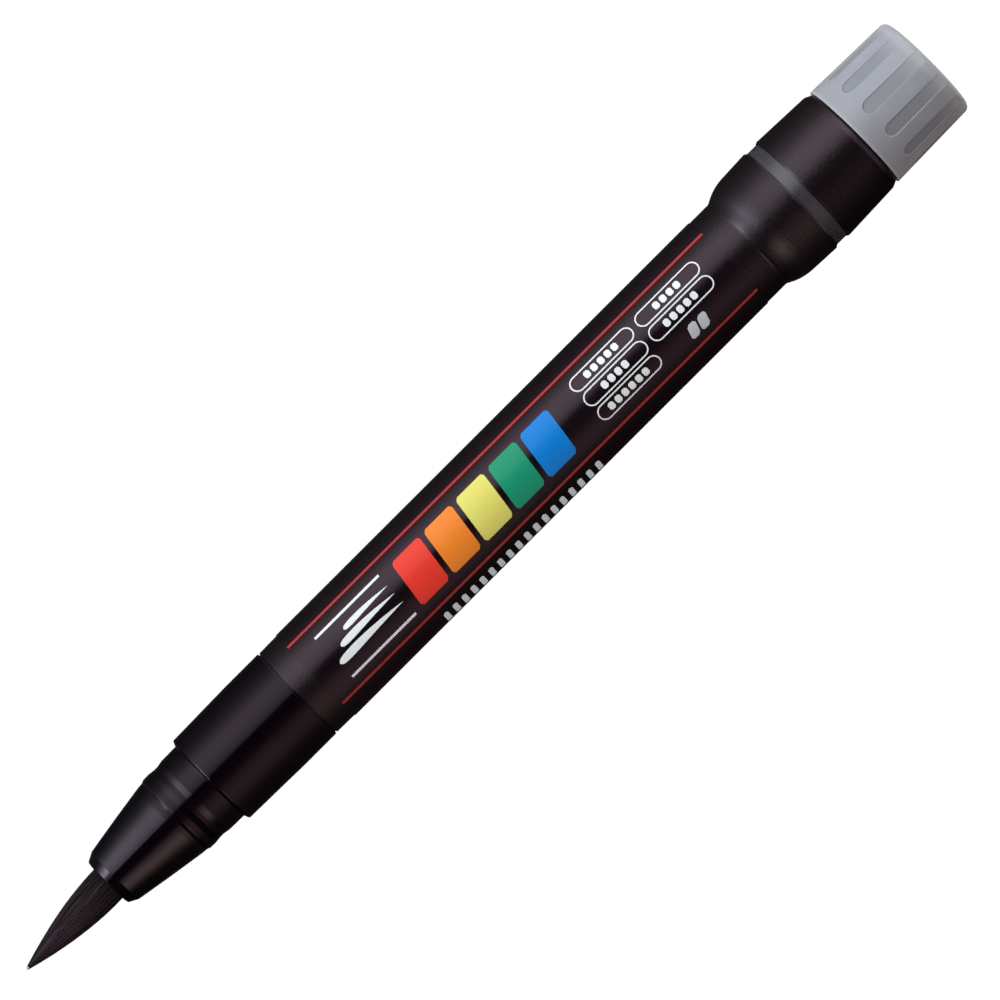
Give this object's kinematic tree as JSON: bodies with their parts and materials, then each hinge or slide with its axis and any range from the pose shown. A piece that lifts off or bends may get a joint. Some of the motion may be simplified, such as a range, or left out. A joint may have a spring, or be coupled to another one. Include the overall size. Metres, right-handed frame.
{
  "type": "brush pen",
  "caption": "Paint brush pen with a bristle tip, tapered nose, printed barrel, grey guide band and a frosted push button that opens the feed valve.",
  "frame": {"origin": "on the pen's axis, in the middle of the film that wraps the barrel, where it is held", "axes": "+X along the pen from the brush to the button, +Z out of the middle of the printed side"},
  "size_m": [0.15, 0.0154, 0.0154],
  "materials": {
    "bristle": "dark nylon bristles",
    "gloss_black": "glossy moulded black",
    "matte_black": "fine leather-grain black",
    "film": "printed black shrink film",
    "band_grey": "smoky grey polypropylene",
    "frosted": "frosted translucent polypropylene",
    "grey_plastic": "natural moulded plastic",
    "clear_plastic": "clear polypropylene",
    "fibre": "bonded fibre soaked in black paint",
    "rubber": "soft black rubber",
    "spring_steel": "stainless spring wire",
    "ball_steel": "polished steel"
  },
  "bodies": {
    "barrel": {"brush_tuft": "bristle", "brush_collar": "grey_plastic", "brush_plug": "grey_plastic", "feed_pipe": "clear_plastic", "nose_cone": "gloss_black", "nose_seal": "rubber", "relay_wick": "fibre", "feed_body": "grey_plastic", "front_section": "gloss_black", "neck_seal": "rubber", "barrel": "matte_black", "label_film": "film", "guide_ring": "band_grey", "return_spring": "spring_steel"},
    "tank": {"paint_tank": "clear_plastic", "valve_seal": "rubber", "valve_cage": "grey_plastic", "valve_spring": "spring_steel", "tail_plug": "grey_plastic", "tail_seal": "rubber", "rear_sleeve": "matte_black", "push_button": "frosted"},
    "valve_stem": {"valve_stem": "grey_plastic"},
    "mixing_ball": {"mixing_ball": "ball_steel"}
  },
  "joints": [
    {"name": "button_press", "type": "slide", "parent": "barrel", "child": "tank", "axis": [-1, 0, 0], "range_m": [0, 0.0015], "stiffness_N_per_m": 600, "springref_m": -0.003, "deforming": ["return_spring"]},
    {"name": "valve_open", "type": "slide", "parent": "tank", "child": "valve_stem", "axis": [1, 0, 0], "range_m": [0, 0.0015], "stiffness_N_per_m": 100, "springref_m": -0.002, "deforming": ["valve_spring"]},
    {"name": "ball_rattle", "type": "slide", "parent": "tank", "child": "mixing_ball", "axis": [1, 0, 0], "range_m": [-0.036, 0.0245]}
  ],
  "couplings": [
    {"joint": "valve_open", "follows": "button_press", "ratio": 1}
  ]
}
